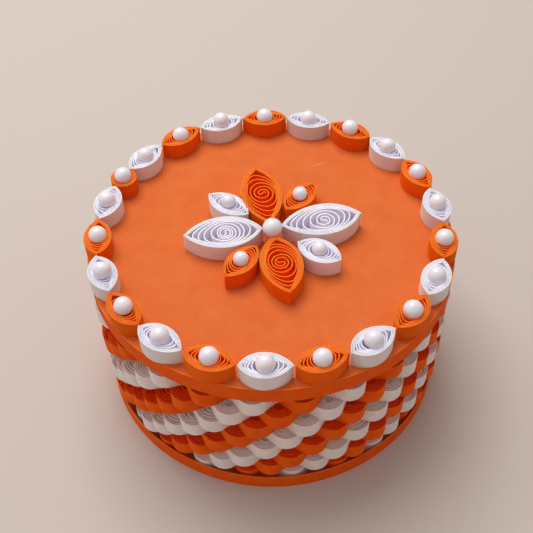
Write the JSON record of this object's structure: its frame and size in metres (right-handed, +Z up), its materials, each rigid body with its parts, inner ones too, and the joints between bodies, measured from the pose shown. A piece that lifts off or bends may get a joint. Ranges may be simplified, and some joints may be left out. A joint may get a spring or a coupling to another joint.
{
  "type": "quilled paper gift box",
  "caption": "Round gift box of quilled paper: a scale-patterned wall of pinched rolls and a lift-off lid with a ring of pearled rolls and a petal flower.",
  "frame": {"origin": "middle of the base board's underside", "axes": "+Z up towards the lid, the picture's front faces -Y, +X to the right seen from the front"},
  "size_m": [0.101, 0.101, 0.0568],
  "materials": {
    "orange_card": "matte card",
    "orange_strip": "smooth matte paper strip",
    "orange_rolls": "smooth matte paper strip",
    "white_rolls": "smooth matte paper strip",
    "pearl": "satin pearl"
  },
  "bodies": {
    "box": {"base_board": "orange_card", "base_band": "orange_strip", "tier_1_orange_rolls": "orange_rolls", "tier_1_white_rolls": "white_rolls", "tier_2_orange_rolls": "orange_rolls", "tier_2_white_rolls": "white_rolls", "tier_3_orange_rolls": "orange_rolls", "tier_3_white_rolls": "white_rolls", "tier_4_orange_rolls": "orange_rolls", "tier_4_white_rolls": "white_rolls", "tier_5_orange_rolls": "orange_rolls", "tier_5_white_rolls": "white_rolls", "tier_6_orange_rolls": "orange_rolls", "tier_6_white_rolls": "white_rolls", "tier_7_orange_rolls": "orange_rolls", "tier_7_white_rolls": "white_rolls", "tier_8_orange_rolls": "orange_rolls", "tier_8_white_rolls": "white_rolls", "tier_9_orange_rolls": "orange_rolls", "tier_9_white_rolls": "white_rolls"},
    "lid": {"lid_board": "orange_card", "lid_band": "orange_strip", "ring_roll_01": "orange_rolls", "ring_roll_02": "white_rolls", "ring_roll_03": "orange_rolls", "ring_roll_04": "white_rolls", "ring_roll_05": "orange_rolls", "ring_roll_06": "white_rolls", "ring_roll_07": "orange_rolls", "ring_roll_08": "white_rolls", "ring_roll_09": "orange_rolls", "ring_roll_10": "white_rolls", "ring_roll_11": "orange_rolls", "ring_roll_12": "white_rolls", "ring_roll_13": "orange_rolls", "ring_roll_14": "white_rolls", "ring_roll_15": "orange_rolls", "ring_roll_16": "white_rolls", "ring_roll_17": "orange_rolls", "ring_roll_18": "white_rolls", "ring_roll_19": "orange_rolls", "ring_roll_20": "white_rolls", "ring_roll_21": "orange_rolls", "ring_roll_22": "white_rolls", "ring_pearls": "pearl", "back_large_petal": "orange_rolls", "left_large_petal": "white_rolls", "right_large_petal": "white_rolls", "front_large_petal": "orange_rolls", "back_left_small_petal": "white_rolls", "back_right_small_petal": "orange_rolls", "front_left_small_petal": "orange_rolls", "front_right_small_petal": "white_rolls", "petal_pearls": "pearl", "centre_pearl": "pearl"}
  },
  "joints": [
    {"name": "lid_lift", "type": "slide", "parent": "box", "child": "lid", "axis": [0, 0, 1], "range_m": [0, 0.06]}
  ]
}
